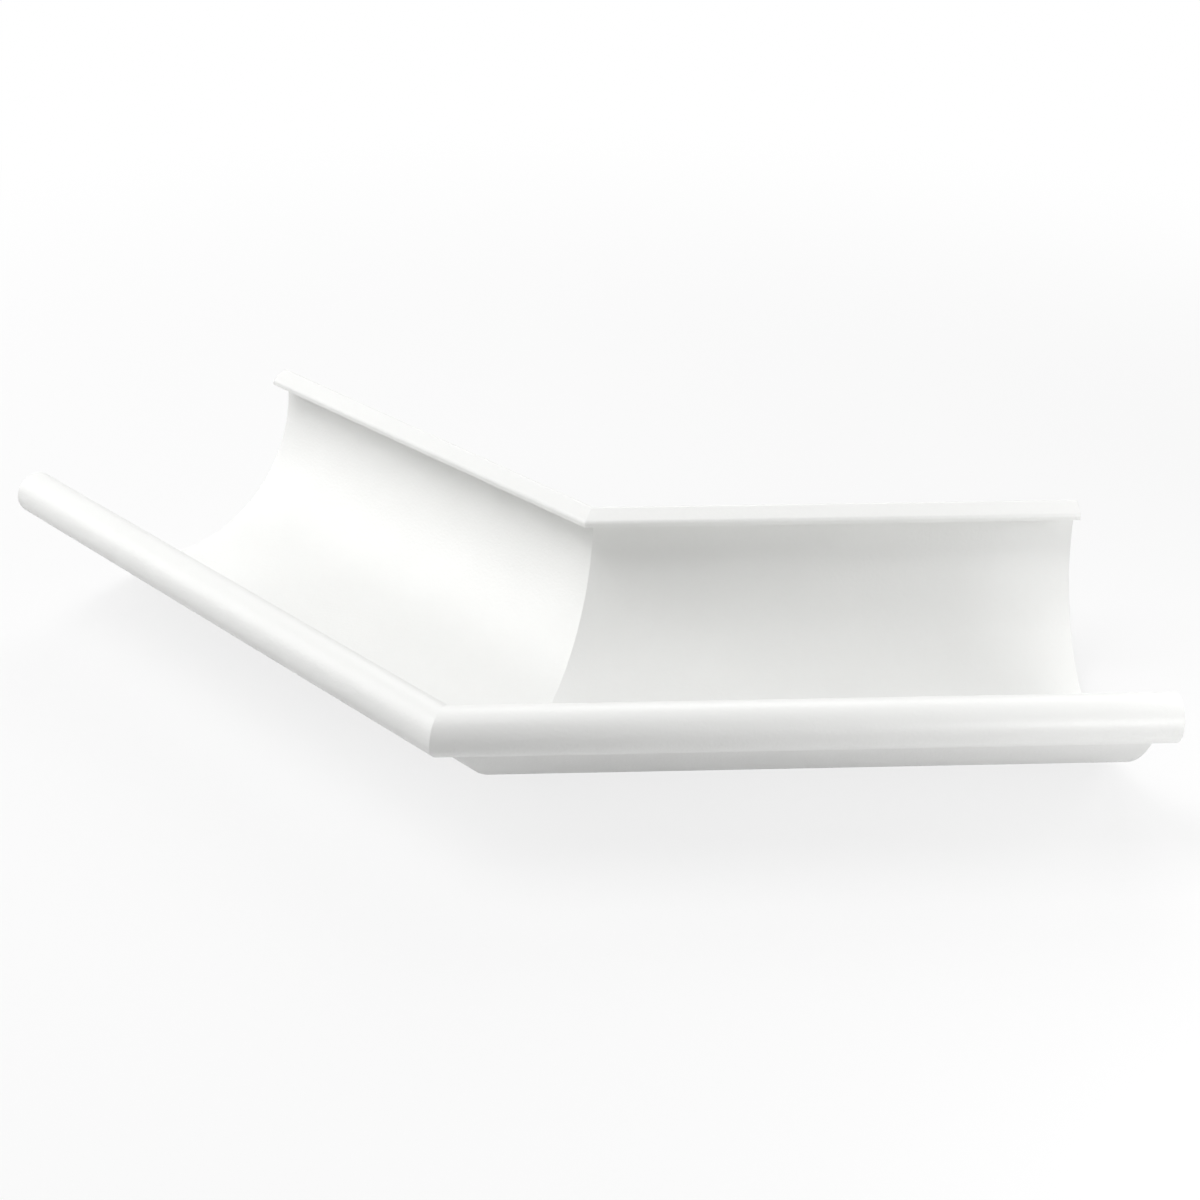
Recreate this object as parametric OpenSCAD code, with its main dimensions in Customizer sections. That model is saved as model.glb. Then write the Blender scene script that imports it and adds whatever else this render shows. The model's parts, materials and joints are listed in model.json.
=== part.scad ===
// External angle for a half-round roof gutter: two legs of one folded sheet that turn the gutter
// round an outside corner of a building. Each leg has the same section: a half-round trough, a
// rolled tubular bead along its front edge and a rim folded inwards along its rear edge.
// Frame: +Z up, the front (outer) side of the corner faces -Y, the mitre lies in the plane x = 0,
// and the origin is under the middle of the piece at the level of its lowest line.

/* [Trough] */
// Inside radius of the half-round trough, half of the gutter's nominal size
trough_radius = 62.5; // [45:0.5:100]
// Thickness of the sheet
sheet = 0.6; // [0.4:0.05:1]

/* [Corner] */
// Angle between the two legs, measured on the building's side
corner_angle = 135; // [90:1:170]
// Length of a leg along the middle of its trough, from the mitre to the cut end
leg_length = 220; // [160:5:500]

/* [Front bead] */
// Outside radius of the rolled bead
bead_radius = 8.7; // [5:0.1:12]
// Angle below the centre line of the trough at which its front wall turns over into the bead
bead_angle = 5.521; // [0:0.001:20]
// Slit between the closing edge of the bead and the outside of the trough
bead_slit = 0.4; // [0.2:0.1:2]

/* [Rear rim] */
// Straight rear wall between the trough and the first bend of the rim
wall_rise = 4; // [1:0.5:20]
// Inside radius of the two bends of the rim
rim_bend = 1; // [0.5:0.1:3]
// Fall of the flange from the rear wall towards the trough, in degrees
rim_slope = 21.5; // [0:0.5:45]
// Flat width of the flange between its bends
rim_flange = 6.1; // [3:0.1:20]
// Flat height of the lip that hangs from the flange
rim_lip = 1.3; // [0.5:0.1:6]

/* [Hidden] */

// A multiple of 4, so that every round starts and ends on the sheet's own edges
$fn = 144;

finish = "whitesmoke";

// Each leg turns back from the X axis by half of what the corner lacks of a straight line
leg_turn = (180 - corner_angle) / 2;

// Outside of the trough, and the middle of the sheet on which bends are measured
trough_outside = trough_radius + sheet;
trough_middle = trough_radius + sheet / 2;
bead_middle = bead_radius - sheet / 2;
rim_middle = rim_bend + sheet / 2;

// The bead touches the trough's inside radius from the front, so its centre is this far out
bead_distance = trough_radius + bead_radius;
// Part of a full turn that the bead leaves open at the slit
bead_open = acos((pow(bead_distance, 2) + pow(bead_radius, 2) - pow(trough_outside + bead_slit, 2))
                 / (2 * bead_distance * bead_radius));

// Foremost line of the bead, measured out from the middle of the trough
bead_front = bead_distance * cos(bead_angle) + bead_radius;

// Depth of the whole corner from the bead's tip at the mitre to the rear wall at the cut ends
front_reach = bead_front / cos(leg_turn);
rear_reach = leg_length * sin(leg_turn) + trough_outside * cos(leg_turn);

// What is cut away at the mitre starts from a leg that runs past it by this much
mitre_overrun = 2 * bead_front * tan(leg_turn);
// Larger than the leg in every direction
cut_block = 2 * (leg_length + bead_front);

// Each of the two sectors of a bend covers this much of it, so they overlap on the same round
bend_share = 0.6;
// The wedge that cuts a sector out of a round is drawn in steps of no more than this
wedge_step = 60;

// Sector of a round strip of sheet. It starts straight below or straight above its centre, and
// the wedge's corners lie far enough out that its straight sides still pass outside the round.
module sheet_sector(radius, start, sweep) {
    steps = ceil(abs(sweep) / wedge_step);
    reach = (radius + sheet) / cos(wedge_step / 2);
    intersection() {
        difference() {
            circle(r = radius + sheet / 2);
            circle(r = radius - sheet / 2);
        }
        polygon([[0, 0], for (i = [0 : steps])
            let (angle = start + sweep * i / steps) [reach * cos(angle), reach * sin(angle)]]);
    }
}

// Flat strip of sheet that runs along +X from the origin. What follows it starts at its end.
module flat(length) {
    translate([0, -sheet / 2]) square([length, sheet]);
    translate([length, 0]) children();
}

// Bend of the sheet from the +X direction, to the left where turn is positive and to the right
// where it is negative. What follows it starts at its end, in the new direction. One sector
// leaves square from the start, and where something follows, another leaves square from the end.
module bend(radius, turn) {
    side = sign(turn);
    start = -90 * side;
    share = $children > 0 ? bend_share : 1;
    translate([0, side * radius]) {
        sheet_sector(radius, start, turn * share);
        if ($children > 0)
            rotate(turn) {
                sheet_sector(radius, start, -turn * share);
                translate([0, -side * radius]) children();
            }
    }
}

// Rear rim, from the level of the trough's centre up: wall, bend, sloping flange, bend and lip
module rim_section() {
    translate([-trough_middle, 0]) rotate(90)
        flat(wall_rise)
            bend(rim_middle, -(90 + rim_slope))
                flat(rim_flange)
                    bend(rim_middle, -(90 - rim_slope))
                        flat(rim_lip);
}

// Trough and bead, from the level of the trough's centre down. The sheet turns over into the
// bead without a kink, and the bead curls forward, down and back to the outside of the trough.
module trough_section() {
    translate([-trough_middle, 0]) rotate(-90)
        bend(trough_middle, 180 - bead_angle)
            bend(bead_middle, -(360 - bead_open));
}

// Whole section of the sheet, seen along the leg, with the front to +X
module sheet_section() {
    rim_section();
    trough_section();
}

// Leg towards +X, with a square cut at its end and a mitre in the plane x = 0
module leg() {
    intersection() {
        rotate(leg_turn) translate([leg_length, 0, trough_outside]) rotate([90, 0, -90])
            linear_extrude(leg_length + mitre_overrun) sheet_section();
        translate([0, -cut_block / 2, -cut_block / 2]) cube(cut_block);
    }
}

// The two legs meet on the mitre and are one piece of sheet
module gutter_angle() {
    color(finish) translate([0, (front_reach - rear_reach) / 2, 0]) {
        leg();
        mirror([1, 0, 0]) leg();
    }
}

gutter_angle();
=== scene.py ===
# %% [markdown]
# # A gutter external angle
# The real part turns a half-round roof gutter round an outside corner of a building. It is one
# folded piece of thin steel, painted white: two equal legs that meet on a mitre, a rolled bead
# along the front edge that stiffens it, and a rim folded inwards along the rear edge. This
# notebook dresses the packed solid: it draws the same sheet again with finer rounds and soft
# paint edges, gives it a painted finish, and sets it on a pale floor in soft studio light.

# %% Load the frame
import json
import math

import bmesh
import bpy
from mathutils import Matrix, Vector


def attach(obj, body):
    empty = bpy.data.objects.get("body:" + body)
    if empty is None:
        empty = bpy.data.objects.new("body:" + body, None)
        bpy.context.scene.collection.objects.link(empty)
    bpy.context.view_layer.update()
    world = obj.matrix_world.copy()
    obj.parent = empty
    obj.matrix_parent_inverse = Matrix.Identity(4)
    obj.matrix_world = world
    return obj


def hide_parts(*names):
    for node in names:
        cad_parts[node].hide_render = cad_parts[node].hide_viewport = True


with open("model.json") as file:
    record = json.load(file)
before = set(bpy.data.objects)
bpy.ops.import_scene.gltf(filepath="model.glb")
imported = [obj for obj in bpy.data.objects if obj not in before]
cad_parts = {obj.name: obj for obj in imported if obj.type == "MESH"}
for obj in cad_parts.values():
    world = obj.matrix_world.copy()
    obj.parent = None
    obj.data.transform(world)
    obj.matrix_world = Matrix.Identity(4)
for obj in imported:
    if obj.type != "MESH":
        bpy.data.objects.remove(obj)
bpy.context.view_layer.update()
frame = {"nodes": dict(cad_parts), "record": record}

NODE = "gutter_angle"
mounts = {mount["name"]: mount for mount in frame["record"]["mounts"]}
print("solids:", sorted(frame["nodes"]))

# %% [markdown]
# ## The sizes of the sheet
# The packed record already holds the places where a bracket, a union and the next gutter meet
# this part, so the legs' direction, the trough's outside and the bead come from there. Only the
# sheet's thickness and the small folds of the rear rim are stated again, in metres. Reading the
# rest keeps the visible sheet on the solid when that one changes.

# %% Read the legs, the trough and the bead from the record
MM = 0.001
SHEET = 0.6 * MM
HALF_SHEET = SHEET / 2

end_mount = mounts["right_end"]
leg_direction = Vector(end_mount["axis"]).normalized()
leg_turn = math.atan2(leg_direction.y, leg_direction.x)
trough_outside = mounts["right_bracket_seat"]["dims"]["r_mm"] * MM
trough_middle = trough_outside - HALF_SHEET
bead_radius = mounts["right_bead"]["dims"]["r_mm"] * MM
bead_middle = bead_radius - HALF_SHEET

# The middles of the two troughs cross on the mitre, straight in front of the cut ends
end_point = Vector(end_mount["pos_m"])
leg_length = end_point.x / math.cos(leg_turn)
corner_y = end_point.y - leg_length * math.sin(leg_turn)
print(f"leg {leg_length / MM:.1f} mm at {math.degrees(leg_turn):.2f} degrees")
print(f"trough outside {trough_outside / MM:.1f} mm, bead {bead_radius / MM:.1f} mm in radius")

# %% State the folds of the rear rim and the slit of the bead
WALL_RISE = 4.0 * MM
RIM_BEND = 1.0 * MM + HALF_SHEET
RIM_SLOPE = math.radians(21.5)
RIM_FLANGE = 6.1 * MM
RIM_LIP = 1.3 * MM
BEAD_SLIT = 0.4 * MM

bead_distance = trough_outside - SHEET + bead_radius
bead_point = Vector(mounts["right_bead"]["pos_m"])
bead_angle = math.asin((trough_outside - bead_point.z) / bead_distance)
slit_reach = trough_outside + BEAD_SLIT
bead_cosine = (bead_distance ** 2 + bead_radius ** 2 - slit_reach ** 2) / (2 * bead_distance * bead_radius)
bead_open = math.acos(bead_cosine)
print(f"the bead turns over {math.degrees(bead_angle):.2f} degrees below the trough's middle")
print(f"and stays open by {math.degrees(bead_open):.1f} degrees")

# %% [markdown]
# ## The section, folded as a press brake would fold it
# A sheet-metal worker describes a gutter as a strip with flats and bends. The section could be
# a list of corner points with a bevel on them, but a walk along the middle of the sheet is
# closer to the craft: each move is a flat or a round bend, and the walk notes where it is and
# which way it heads. The heading later gives the exact normal of both faces, so the rounds
# shade smoothly with few points.

# %% Walk along the sheet
FLAT_STEP = 1.6 * MM


def fold(point, heading, moves):
    """Middle line of a strip: (place across the leg, height, heading) at each step of its moves."""
    across, height = point
    line = [(across, height, heading)]
    for radius, turn, length, steps in moves:
        for step in range(steps):
            half = turn / steps / 2
            chord = 2 * radius * math.sin(abs(half)) if turn else length / steps
            heading += half
            across += chord * math.cos(heading)
            height += chord * math.sin(heading)
            heading += half
            line.append((across, height, heading))
    return line


def flat(length):
    """A straight stretch of the strip."""
    return (0.0, 0.0, length, max(1, round(length / FLAT_STEP)))


def bend(radius, turn, step):
    """A round bend of the strip's middle, to the left where turn is positive."""
    return (radius, turn, 0.0, math.ceil(abs(turn) / math.radians(step)))


half_turn_end = fold((0.0, 0.0), 0.0, [bend(1.0, math.pi, 30)])[-1]
print("a half turn of radius 1 ends at", [round(v, 3) for v in half_turn_end])

# %% [markdown]
# The walk starts twice from the top of the trough's rear side. Upwards it makes the rim: the
# wall, a bend, the flange that slopes to the trough, a second bend and the lip. Downwards it
# goes round the trough and turns over into the bead, which curls forward, down and back until
# only a slit is left. Reversing the first walk joins both into one line from lip to slit.

# %% Join the rim, the trough and the bead into one line
TROUGH_STEP = 1.5
BEAD_STEP = 5
RIM_STEP = 8

quarter = math.pi / 2
start = (-trough_middle, 0.0)
rim_line = fold(start, quarter, [
    flat(WALL_RISE),
    bend(RIM_BEND, -(quarter + RIM_SLOPE), RIM_STEP),
    flat(RIM_FLANGE),
    bend(RIM_BEND, -(quarter - RIM_SLOPE), RIM_STEP),
    flat(RIM_LIP),
])
trough_line = fold(start, -quarter, [
    bend(trough_middle, math.pi - bead_angle, TROUGH_STEP),
    bend(bead_middle, -(2 * math.pi - bead_open), BEAD_STEP),
])
rim_downwards = [(across, height, heading + math.pi) for across, height, heading in reversed(rim_line[1:])]
sheet_line = rim_downwards + trough_line
print(len(sheet_line), "steps along the sheet")

# %% [markdown]
# ## From line to outline
# Each step has a point on both faces of the sheet. Where the sheet was cut, its two corners are
# slightly rounded, because paint draws back from a sharp edge and builds up beside it. The
# outline goes down one face, round the slit's edge, back along the other face and round the lip.
# An inset shrinks it evenly, which is what the rounded edge at the legs' cut ends needs.

# %% Round a cut edge
PAINT_ROUND = 0.15 * MM
EDGE_STEPS = 3

edge_angles = [quarter * step / EDGE_STEPS for step in range(EDGE_STEPS + 1)]
edge_points = 2 * len(edge_angles)


def cut_edge(station, forward, inset):
    """Points and normals round one cut edge, from the face on the left to the face on the right."""
    across, height, heading = station
    along = Vector((math.cos(heading), math.sin(heading))) * forward
    left = Vector((-math.sin(heading), math.cos(heading))) * forward
    middle = Vector((across, height)) - along * PAINT_ROUND
    points = []
    for side, angles in ((1, edge_angles), (-1, edge_angles[::-1])):
        for angle in angles:
            normal = left * side * math.cos(angle) + along * math.sin(angle)
            corner = left * side * (HALF_SHEET - PAINT_ROUND)
            points.append((middle + corner + normal * (PAINT_ROUND - inset), normal))
    return points


print(edge_points, "points round each cut edge")

# %% Outline of the sheet
def outline(inset):
    """Closed outline of the sheet, as (place, normal) pairs, shrunk evenly by inset."""
    left_face = []
    right_face = []
    for across, height, heading in sheet_line[1:-1]:
        normal = Vector((-math.sin(heading), math.cos(heading)))
        place = Vector((across, height))
        left_face.append((place + normal * (HALF_SHEET - inset), normal))
        right_face.append((place - normal * (HALF_SHEET - inset), -normal))
    slit_edge = cut_edge(sheet_line[-1], 1, inset)
    lip_edge = cut_edge(sheet_line[0], -1, inset)
    return left_face + slit_edge + right_face[::-1] + lip_edge


face_points = len(sheet_line) - 2
ring = len(outline(0))
print("outline of", ring, "points,", face_points, "of them on each face")

# %% [markdown]
# ## Stations along the two legs
# The outline is carried from the left cut end to the mitre and on to the right cut end. A mirror
# modifier would leave a seam on the mitre, so both legs are one sweep instead. At the mitre the
# real crease isn't razor sharp: the sheet and its paint turn in a round of about half a
# millimetre, which catches a thin line of light. Each station is a rule that places an outline
# point in the frame, with the inset of its outline.

# %% Rule for the crease on the mitre
CREASE_ROUND = 0.5 * MM

crease_run = CREASE_ROUND * math.tan(leg_turn)


def crease(angle):
    """Station on the round of the mitre, where angle goes from minus to plus the leg's turn."""
    def place(point, normal):
        centre_y = corner_y + (CREASE_ROUND - point.x) / math.cos(leg_turn)
        x = CREASE_ROUND * math.sin(angle)
        y = centre_y - CREASE_ROUND * math.cos(angle)
        facing = Vector((normal.x * math.sin(angle), -normal.x * math.cos(angle), normal.y))
        return Vector((x, y, trough_outside + point.y)), facing
    return place, 0.0


print(f"the crease takes {crease_run / MM:.2f} mm of each leg")

# %% Rules for the straight leg
SUPPORT = 0.8 * MM


def along_leg(side, distance_rule, inset=0.0, lean=0.0):
    """Station across a leg. Its rule gives the distance from the corner for a place across it."""
    def place(point, normal):
        distance = distance_rule(point.x)
        x = distance * math.cos(leg_turn) + point.x * math.sin(leg_turn)
        y = corner_y + distance * math.sin(leg_turn) - point.x * math.cos(leg_turn)
        outward = Vector((normal.x * math.sin(leg_turn), -normal.x * math.cos(leg_turn), normal.y))
        outward = outward * math.cos(lean) + leg_direction * math.sin(lean)
        where = Vector((side * x, y, trough_outside + point.y))
        return where, Vector((side * outward.x, outward.y, outward.z))
    return place, inset


def spread(share):
    """Rule for a station part of the way from the crease to the cut end's round."""
    def distance(across):
        near = crease_run - across * math.tan(leg_turn) + SUPPORT
        far = leg_length - PAINT_ROUND - SUPPORT
        return near + (far - near) * share
    return distance


def square(run):
    """Rule for a station straight across the leg, at one distance from the corner."""
    return lambda across: run


print("halfway along the bead's front:", round(spread(0.5)(bead_distance + bead_radius) / MM, 1), "mm")

# %% [markdown]
# The stations of a leg spread evenly between the crease and the cut end. Each place across the
# leg has its own distance to the mitre, so the spread is worked out for each place. The first
# station stands close beside the crease and the last close beside the cut, so that the rounds
# there don't blur into the long flat stretches.

# %% List the stations of both legs
LEG_STEPS = 14
CREASE_STEPS = 6
# A little less than the paint's round, so that the corners of the cut ends keep some width
END_ROUND = 0.14 * MM


def leg_stations(side):
    """Stations of one leg, from beside the crease to the cut end."""
    stations = [along_leg(side, spread(step / LEG_STEPS)) for step in range(LEG_STEPS + 1)]
    for lean in edge_angles:
        rule = square(leg_length - END_ROUND * (1 - math.sin(lean)))
        stations.append(along_leg(side, rule, END_ROUND * (1 - math.cos(lean)), lean))
    return stations


crease_angles = [leg_turn * (2 * step / CREASE_STEPS - 1) for step in range(CREASE_STEPS + 1)]
stations = leg_stations(-1)[::-1] + [crease(angle) for angle in crease_angles] + leg_stations(1)
print(len(stations), "stations")

# %% [markdown]
# ## The sheet as a mesh
# Neighbouring stations are joined by rings of four-sided faces, and the two cut ends are closed
# by a strip of faces between the sheet's faces. The exact normals go onto the mesh as well, so
# it shades as a true round and not as the facets it is made of. A solid that is closed and
# faces outwards has no open edge and a positive volume, so both are measured.

# %% Close a cut end
def end_faces():
    """Faces of a cut end: strips between the two faces of the sheet, and its two edges."""
    slit = list(range(face_points, face_points + edge_points))
    lip = list(range(ring - edge_points, ring))
    right = list(range(face_points + edge_points, ring - edge_points))[::-1]
    strips = [(step, step + 1, right[step + 1], right[step]) for step in range(face_points - 1)]
    return strips + [[face_points - 1] + slit + [right[-1]], [right[0]] + lip + [0]]


print(len(end_faces()), "faces close a cut end")

# %% Build the mesh
def sweep_mesh(name):
    """The whole sheet as one closed mesh with its own normals."""
    places = []
    normals = []
    for place, inset in stations:
        for point, normal in outline(inset):
            where, facing = place(point, normal)
            places.append(where)
            normals.append(facing)
    faces = []
    for row in range(len(stations) - 1):
        here, following = row * ring, (row + 1) * ring
        for column in range(ring):
            beside = (column + 1) % ring
            faces.append((here + column, here + beside, following + beside, following + column))
    last = (len(stations) - 1) * ring
    for face in end_faces():
        faces.append(list(face)[::-1])
        faces.append([last + index for index in face])
    mesh = bpy.data.meshes.new(name)
    mesh.from_pydata(places, [], faces)
    mesh.shade_smooth()
    mesh.normals_split_custom_set_from_vertices(normals)
    return mesh


sheet_mesh = sweep_mesh("painted_gutter_sheet")
gutter = bpy.data.objects.new("painted_gutter_sheet", sheet_mesh)
bpy.context.scene.collection.objects.link(gutter)
print(len(sheet_mesh.vertices), "points and", len(sheet_mesh.polygons), "faces")

# %% Measure the sheet
ruler = bmesh.new()
ruler.from_mesh(sheet_mesh)
volume = ruler.calc_volume(signed=True)
open_edges = sum(not edge.is_manifold for edge in ruler.edges)
ruler.free()
print(f"{volume / MM ** 3 / 1000:.1f} cm3 of sheet and {open_edges} open edges")

# %% [markdown]
# ## Shader maths as plain sums
# A finish is a small sum of noises and masks. Written node by node it is hard to read, so this
# class wraps one socket: adding or multiplying two of them adds the Math node that does it. Any
# other node comes from one method, which takes the node's type, its settings and its sockets.

# %% A class for shader sockets
class Wire:
    """An output of a shader node that can be used in sums."""

    def __init__(self, socket):
        self.socket = socket

    @staticmethod
    def node(tree, kind, settings=None, sockets=None, output=0):
        """Adds a node: first its settings, then the values or wires of its sockets."""
        node = tree.nodes.new(kind)
        for key, value in (settings or {}).items():
            setattr(node, key, value)
        for key, value in (sockets or {}).items():
            if isinstance(value, Wire):
                value.into(node.inputs[key])
            else:
                node.inputs[key].default_value = value
        return Wire(node.outputs[output])

    def into(self, socket):
        """Links this wire to an input."""
        socket.id_data.links.new(self.socket, socket)

    def math(self, operation, first, second):
        settings = {"operation": operation}
        return Wire.node(self.socket.id_data, "ShaderNodeMath", settings, {0: first, 1: second})

    def larger(self, other):
        return self.math("MAXIMUM", self, other)

    def __add__(self, other):
        return self.math("ADD", self, other)

    def __radd__(self, other):
        return self.math("ADD", other, self)

    def __sub__(self, other):
        return self.math("SUBTRACT", self, other)

    def __rsub__(self, other):
        return self.math("SUBTRACT", other, self)

    def __mul__(self, other):
        return self.math("MULTIPLY", self, other)

    def __rmul__(self, other):
        return self.math("MULTIPLY", other, self)


print("sums of wires:", [name for name in vars(Wire) if name.startswith("__r")])

# %% [markdown]
# ## The painted finish
# Gutters of this kind are coil-coated or powder-coated steel: an even, slightly warm white with
# a soft sheen, and a very fine skin like the peel of an orange. A flat white would look like
# paper, so three noises work at real scales: the peel at about a millimetre, slow changes of
# sheen over a few centimetres, and the barely visible unevenness of thin sheet between its
# folds. All of them are weak, because the real surface looks clean from a step away.

# %% Choose the paint's colours, sheen and scales
PAINT_WHITE = (0.809, 0.811, 0.799, 1.0)
PAINT_SHADE = (0.786, 0.788, 0.776, 1.0)
PAINT_SHEEN = 0.42
SHEEN_CHANGE = 0.1
PEEL_SHEEN_CHANGE = 0.05

PEEL_PER_METRE = 800.0
PEEL_DEPTH = 0.16 * MM
PEEL_STRENGTH = 0.6
CLOUDS_PER_METRE = 28.0
WAVES_PER_METRE = 9.0
WAVE_DEPTH = 0.6 * MM
WAVE_STRENGTH = 0.3
print(f"peel {1000 / PEEL_PER_METRE:.1f} mm, clouds {1000 / CLOUDS_PER_METRE:.0f} mm, "
      f"waves {1000 / WAVES_PER_METRE:.0f} mm across")

# %% Add a noise that is fixed to the part
NOISE_ROUGHNESS = 0.5
NOISE_MIDDLE = 0.5


def noise(tree, scale, detail):
    """A soft noise about its middle value, with so many spots per metre."""
    place = Wire.node(tree, "ShaderNodeTexCoord", output="Object")
    sockets = {"Vector": place, "Scale": scale, "Detail": detail, "Roughness": NOISE_ROUGHNESS}
    return Wire.node(tree, "ShaderNodeTexNoise", {"noise_dimensions": "3D"}, sockets)


print("noise from 0 to 1 about", NOISE_MIDDLE)

# %% Make the white paint
PEEL_DETAIL = 2.0
CLOUDS_DETAIL = 3.0
WAVES_DETAIL = 1.0


def painted_steel():
    """White paint on thin steel sheet."""
    material = bpy.data.materials.new("white_painted_steel")
    material.use_nodes = True
    tree = material.node_tree
    inputs = tree.nodes["Principled BSDF"].inputs
    peel = noise(tree, PEEL_PER_METRE, PEEL_DETAIL)
    clouds = noise(tree, CLOUDS_PER_METRE, CLOUDS_DETAIL)
    waves = noise(tree, WAVES_PER_METRE, WAVES_DETAIL)
    whites = {"Factor": clouds, "A": PAINT_WHITE, "B": PAINT_SHADE}
    Wire.node(tree, "ShaderNodeMix", {"data_type": "RGBA"}, whites, 2).into(inputs["Base Color"])
    cloud_sheen = (clouds - NOISE_MIDDLE) * SHEEN_CHANGE
    peel_sheen = (peel - NOISE_MIDDLE) * PEEL_SHEEN_CHANGE
    sheen = PAINT_SHEEN + cloud_sheen + peel_sheen
    sheen.into(inputs["Roughness"])
    uneven = {"Strength": WAVE_STRENGTH, "Distance": WAVE_DEPTH, "Height": waves}
    sheet_bump = Wire.node(tree, "ShaderNodeBump", None, uneven)
    skin = {"Strength": PEEL_STRENGTH, "Distance": PEEL_DEPTH, "Height": peel, "Normal": sheet_bump}
    Wire.node(tree, "ShaderNodeBump", None, skin).into(inputs["Normal"])
    return material


gutter.data.materials.append(painted_steel())
print("finish:", gutter.data.materials[0].name)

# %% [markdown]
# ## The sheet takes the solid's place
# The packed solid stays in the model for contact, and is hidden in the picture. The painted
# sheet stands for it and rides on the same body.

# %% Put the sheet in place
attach(gutter, "root")
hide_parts(NODE)
print(gutter.name, "stands for", NODE)

# %% [markdown]
# ## Floor and surround
# The part lies as it would on a bench, with its channel up, on a plain pale floor. The photograph
# has a pure white ground, as catalogue pictures do. More lamps would turn the floor white but
# would bleach the paint as well, so the white is added only for what the camera and the glossy
# paint see: the surround and most of the floor glow at a strength of 1 for those rays. Close to
# the part the floor is also lit by the lamps, so that it keeps its soft shadow.

# %% Find the rays that see the white ground
def seen_white(tree):
    """1 for rays from the camera, from gloss and through glass, and 0 for the rays of soft light."""
    camera_ray = Wire.node(tree, "ShaderNodeLightPath", output="Is Camera Ray")
    glossy_ray = Wire.node(tree, "ShaderNodeLightPath", output="Is Glossy Ray")
    clear_ray = Wire.node(tree, "ShaderNodeLightPath", output="Is Transmission Ray")
    return camera_ray.larger(glossy_ray).larger(clear_ray)


print("the ground is white for the camera, for gloss and through glass")


# %% Make the surround
SURROUND_LIGHT = 0.1
SURROUND_WHITE = (1.0, 1.0, 1.0, 1.0)

world = bpy.data.worlds.new("white_surround")
world.use_nodes = True
bpy.context.scene.world = world
background = world.node_tree.nodes["Background"]
background.inputs["Color"].default_value = SURROUND_WHITE
white = seen_white(world.node_tree)
strength = white + (1 - white) * SURROUND_LIGHT
strength.into(background.inputs["Strength"])
print("the surround lights the part at", SURROUND_LIGHT)

# %% [markdown]
# The floor mixes two shaders: a matt white that takes the shadow, and a plain glow. Near the part
# the glow's share is SHADOW_GLOW. From SHADOW_REACH to WHITE_REACH, in metres, it grows smoothly
# to the whole, so that no line shows where the floor ends and the surround begins.

# %% Lay the floor
FLOOR_SIZE = 10.0
FLOOR_WHITE = (0.7, 0.7, 0.7, 1.0)
FLOOR_ROUGHNESS = 0.9
SHADOW_GLOW = 0.8
SHADOW_REACH = 0.35
WHITE_REACH = 0.8


def floor_finish():
    """Matt white near the part, which turns into a plain white glow farther off."""
    material = bpy.data.materials.new("floor_white")
    material.use_nodes = True
    tree = material.node_tree
    lit = tree.nodes["Principled BSDF"]
    lit.inputs["Base Color"].default_value = FLOOR_WHITE
    lit.inputs["Roughness"].default_value = FLOOR_ROUGHNESS
    place = Wire.node(tree, "ShaderNodeTexCoord", output="Object")
    distance = Wire.node(tree, "ShaderNodeVectorMath", {"operation": "LENGTH"}, {0: place}, "Value")
    reach = {"Value": distance, "From Min": SHADOW_REACH, "From Max": WHITE_REACH, "To Min": SHADOW_GLOW}
    share = Wire.node(tree, "ShaderNodeMapRange", {"interpolation_type": "SMOOTHSTEP"}, reach)
    glow = Wire.node(tree, "ShaderNodeEmission", None, {"Strength": 1.0})
    both = {0: seen_white(tree) * share, 1: Wire(lit.outputs[0]), 2: glow}
    ground = Wire.node(tree, "ShaderNodeMixShader", None, both)
    ground.into(tree.nodes["Material Output"].inputs["Surface"])
    return material


half = FLOOR_SIZE / 2
floor_mesh = bpy.data.meshes.new("floor")
corners = [(-half, -half, 0), (half, -half, 0), (half, half, 0), (-half, half, 0)]
floor_mesh.from_pydata(corners, [], [(0, 1, 2, 3)])
floor_mesh.materials.append(floor_finish())
floor = bpy.data.objects.new("floor", floor_mesh)
bpy.context.scene.collection.objects.link(floor)
print("floor of", FLOOR_SIZE, "m")

# %% [markdown]
# ## Lamps
# Catalogue light is soft and comes from several sides. Two large lamps stand to the left of the
# camera, one low and one high, and light the left leg's inside and the tops of the folds. One
# behind the part lights the rear rim's top. Two small ones close by on the right make the right
# leg fade from bright at its cut end to grey at the corner, as in the photograph. Area lamps
# suit the far places, and a lamp that shines all ways suits the near ones, because an area
# lamp's edge would draw a line on the floor there.

# %% Hang a lamp
# All lamps face the middle of the part
AIM = Vector((0.0, 0.0, 0.03))


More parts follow.
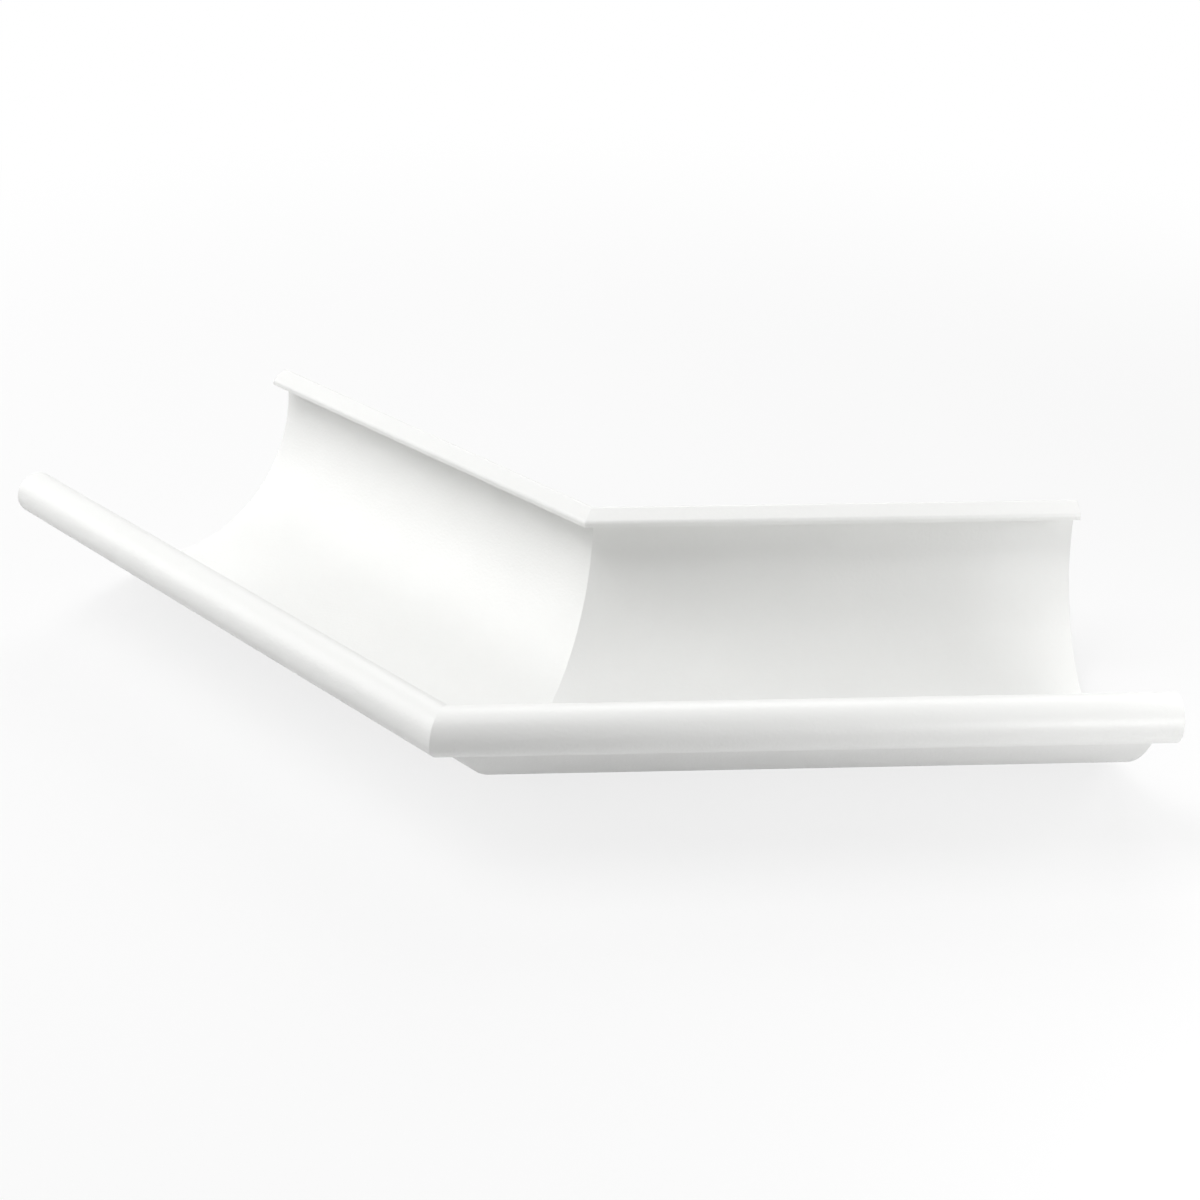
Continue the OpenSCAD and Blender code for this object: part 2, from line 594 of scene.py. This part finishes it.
def hang_lamp(name, kind, azimuth, elevation, distance, watts):
    """A lamp that faces the part. Azimuth 0 is straight in front, and 90 is on the right."""
    turn, rise = math.radians(azimuth), math.radians(elevation)
    towards = Vector((math.sin(turn) * math.cos(rise), -math.cos(turn) * math.cos(rise), math.sin(rise)))
    light = bpy.data.lights.new(name, kind)
    light.energy = watts
    lamp = bpy.data.objects.new(name, light)
    lamp.visible_camera = False
    lamp.location = AIM + towards * distance
    lamp.rotation_euler = towards.to_track_quat("Z", "Y").to_euler()
    bpy.context.scene.collection.objects.link(lamp)
    print(name, "of", watts, "W")
    return light


def soft_lamp(name, azimuth, elevation, distance, size, watts):
    """A large square lamp."""
    light = hang_lamp(name, "AREA", azimuth, elevation, distance, watts)
    light.size = size


def round_lamp(name, azimuth, elevation, distance, radius, watts):
    """A small round lamp that shines all ways."""
    light = hang_lamp(name, "POINT", azimuth, elevation, distance, watts)
    light.shadow_soft_size = radius


# %% Light the part
soft_lamp("lamp_left_low", -75, 30, 1.4, 0.8, 6.9)
soft_lamp("lamp_left_high", -60, 65, 1.4, 0.8, 12.7)
soft_lamp("lamp_back", -170, 45, 1.4, 0.8, 7.2)
round_lamp("lamp_right_front", 60, 12, 0.45, 0.06, 1.5)
round_lamp("lamp_right_end", 100, 20, 0.36, 0.05, 0.5)

# %% [markdown]
# ## Camera
# The photograph looks at the corner from the front and a little from the right, from above, and
# from close by, so its perspective is strong. Its place, direction and focal length come from
# fitting the part's straight edges and round ends to the picture.

# %% Set the camera
CAMERA_PLACE = Vector((0.21667, -0.53399, 0.40195))
CAMERA_ELEVATION = math.radians(-31.588)
CAMERA_AZIMUTH = math.radians(-20.431)
CAMERA_ROLL = math.radians(0.109)
FOCAL_LENGTH = 52.55
SENSOR_WIDTH = 36.0
NEAREST = 0.01

camera_data = bpy.data.cameras.new("camera")
camera_data.sensor_width = SENSOR_WIDTH
camera_data.lens = FOCAL_LENGTH
camera_data.clip_start = NEAREST
camera = bpy.data.objects.new("camera", camera_data)
swing = Matrix.Rotation(-CAMERA_AZIMUTH, 4, "Z")
nod = Matrix.Rotation(quarter + CAMERA_ELEVATION, 4, "X")
roll = Matrix.Rotation(CAMERA_ROLL, 4, "Z")
camera.matrix_world = Matrix.Translation(CAMERA_PLACE) @ swing @ nod @ roll
bpy.context.scene.collection.objects.link(camera)
bpy.context.scene.camera = camera
bpy.context.scene.view_settings.view_transform = "Standard"
print("camera at", tuple(round(v, 3) for v in camera.location))
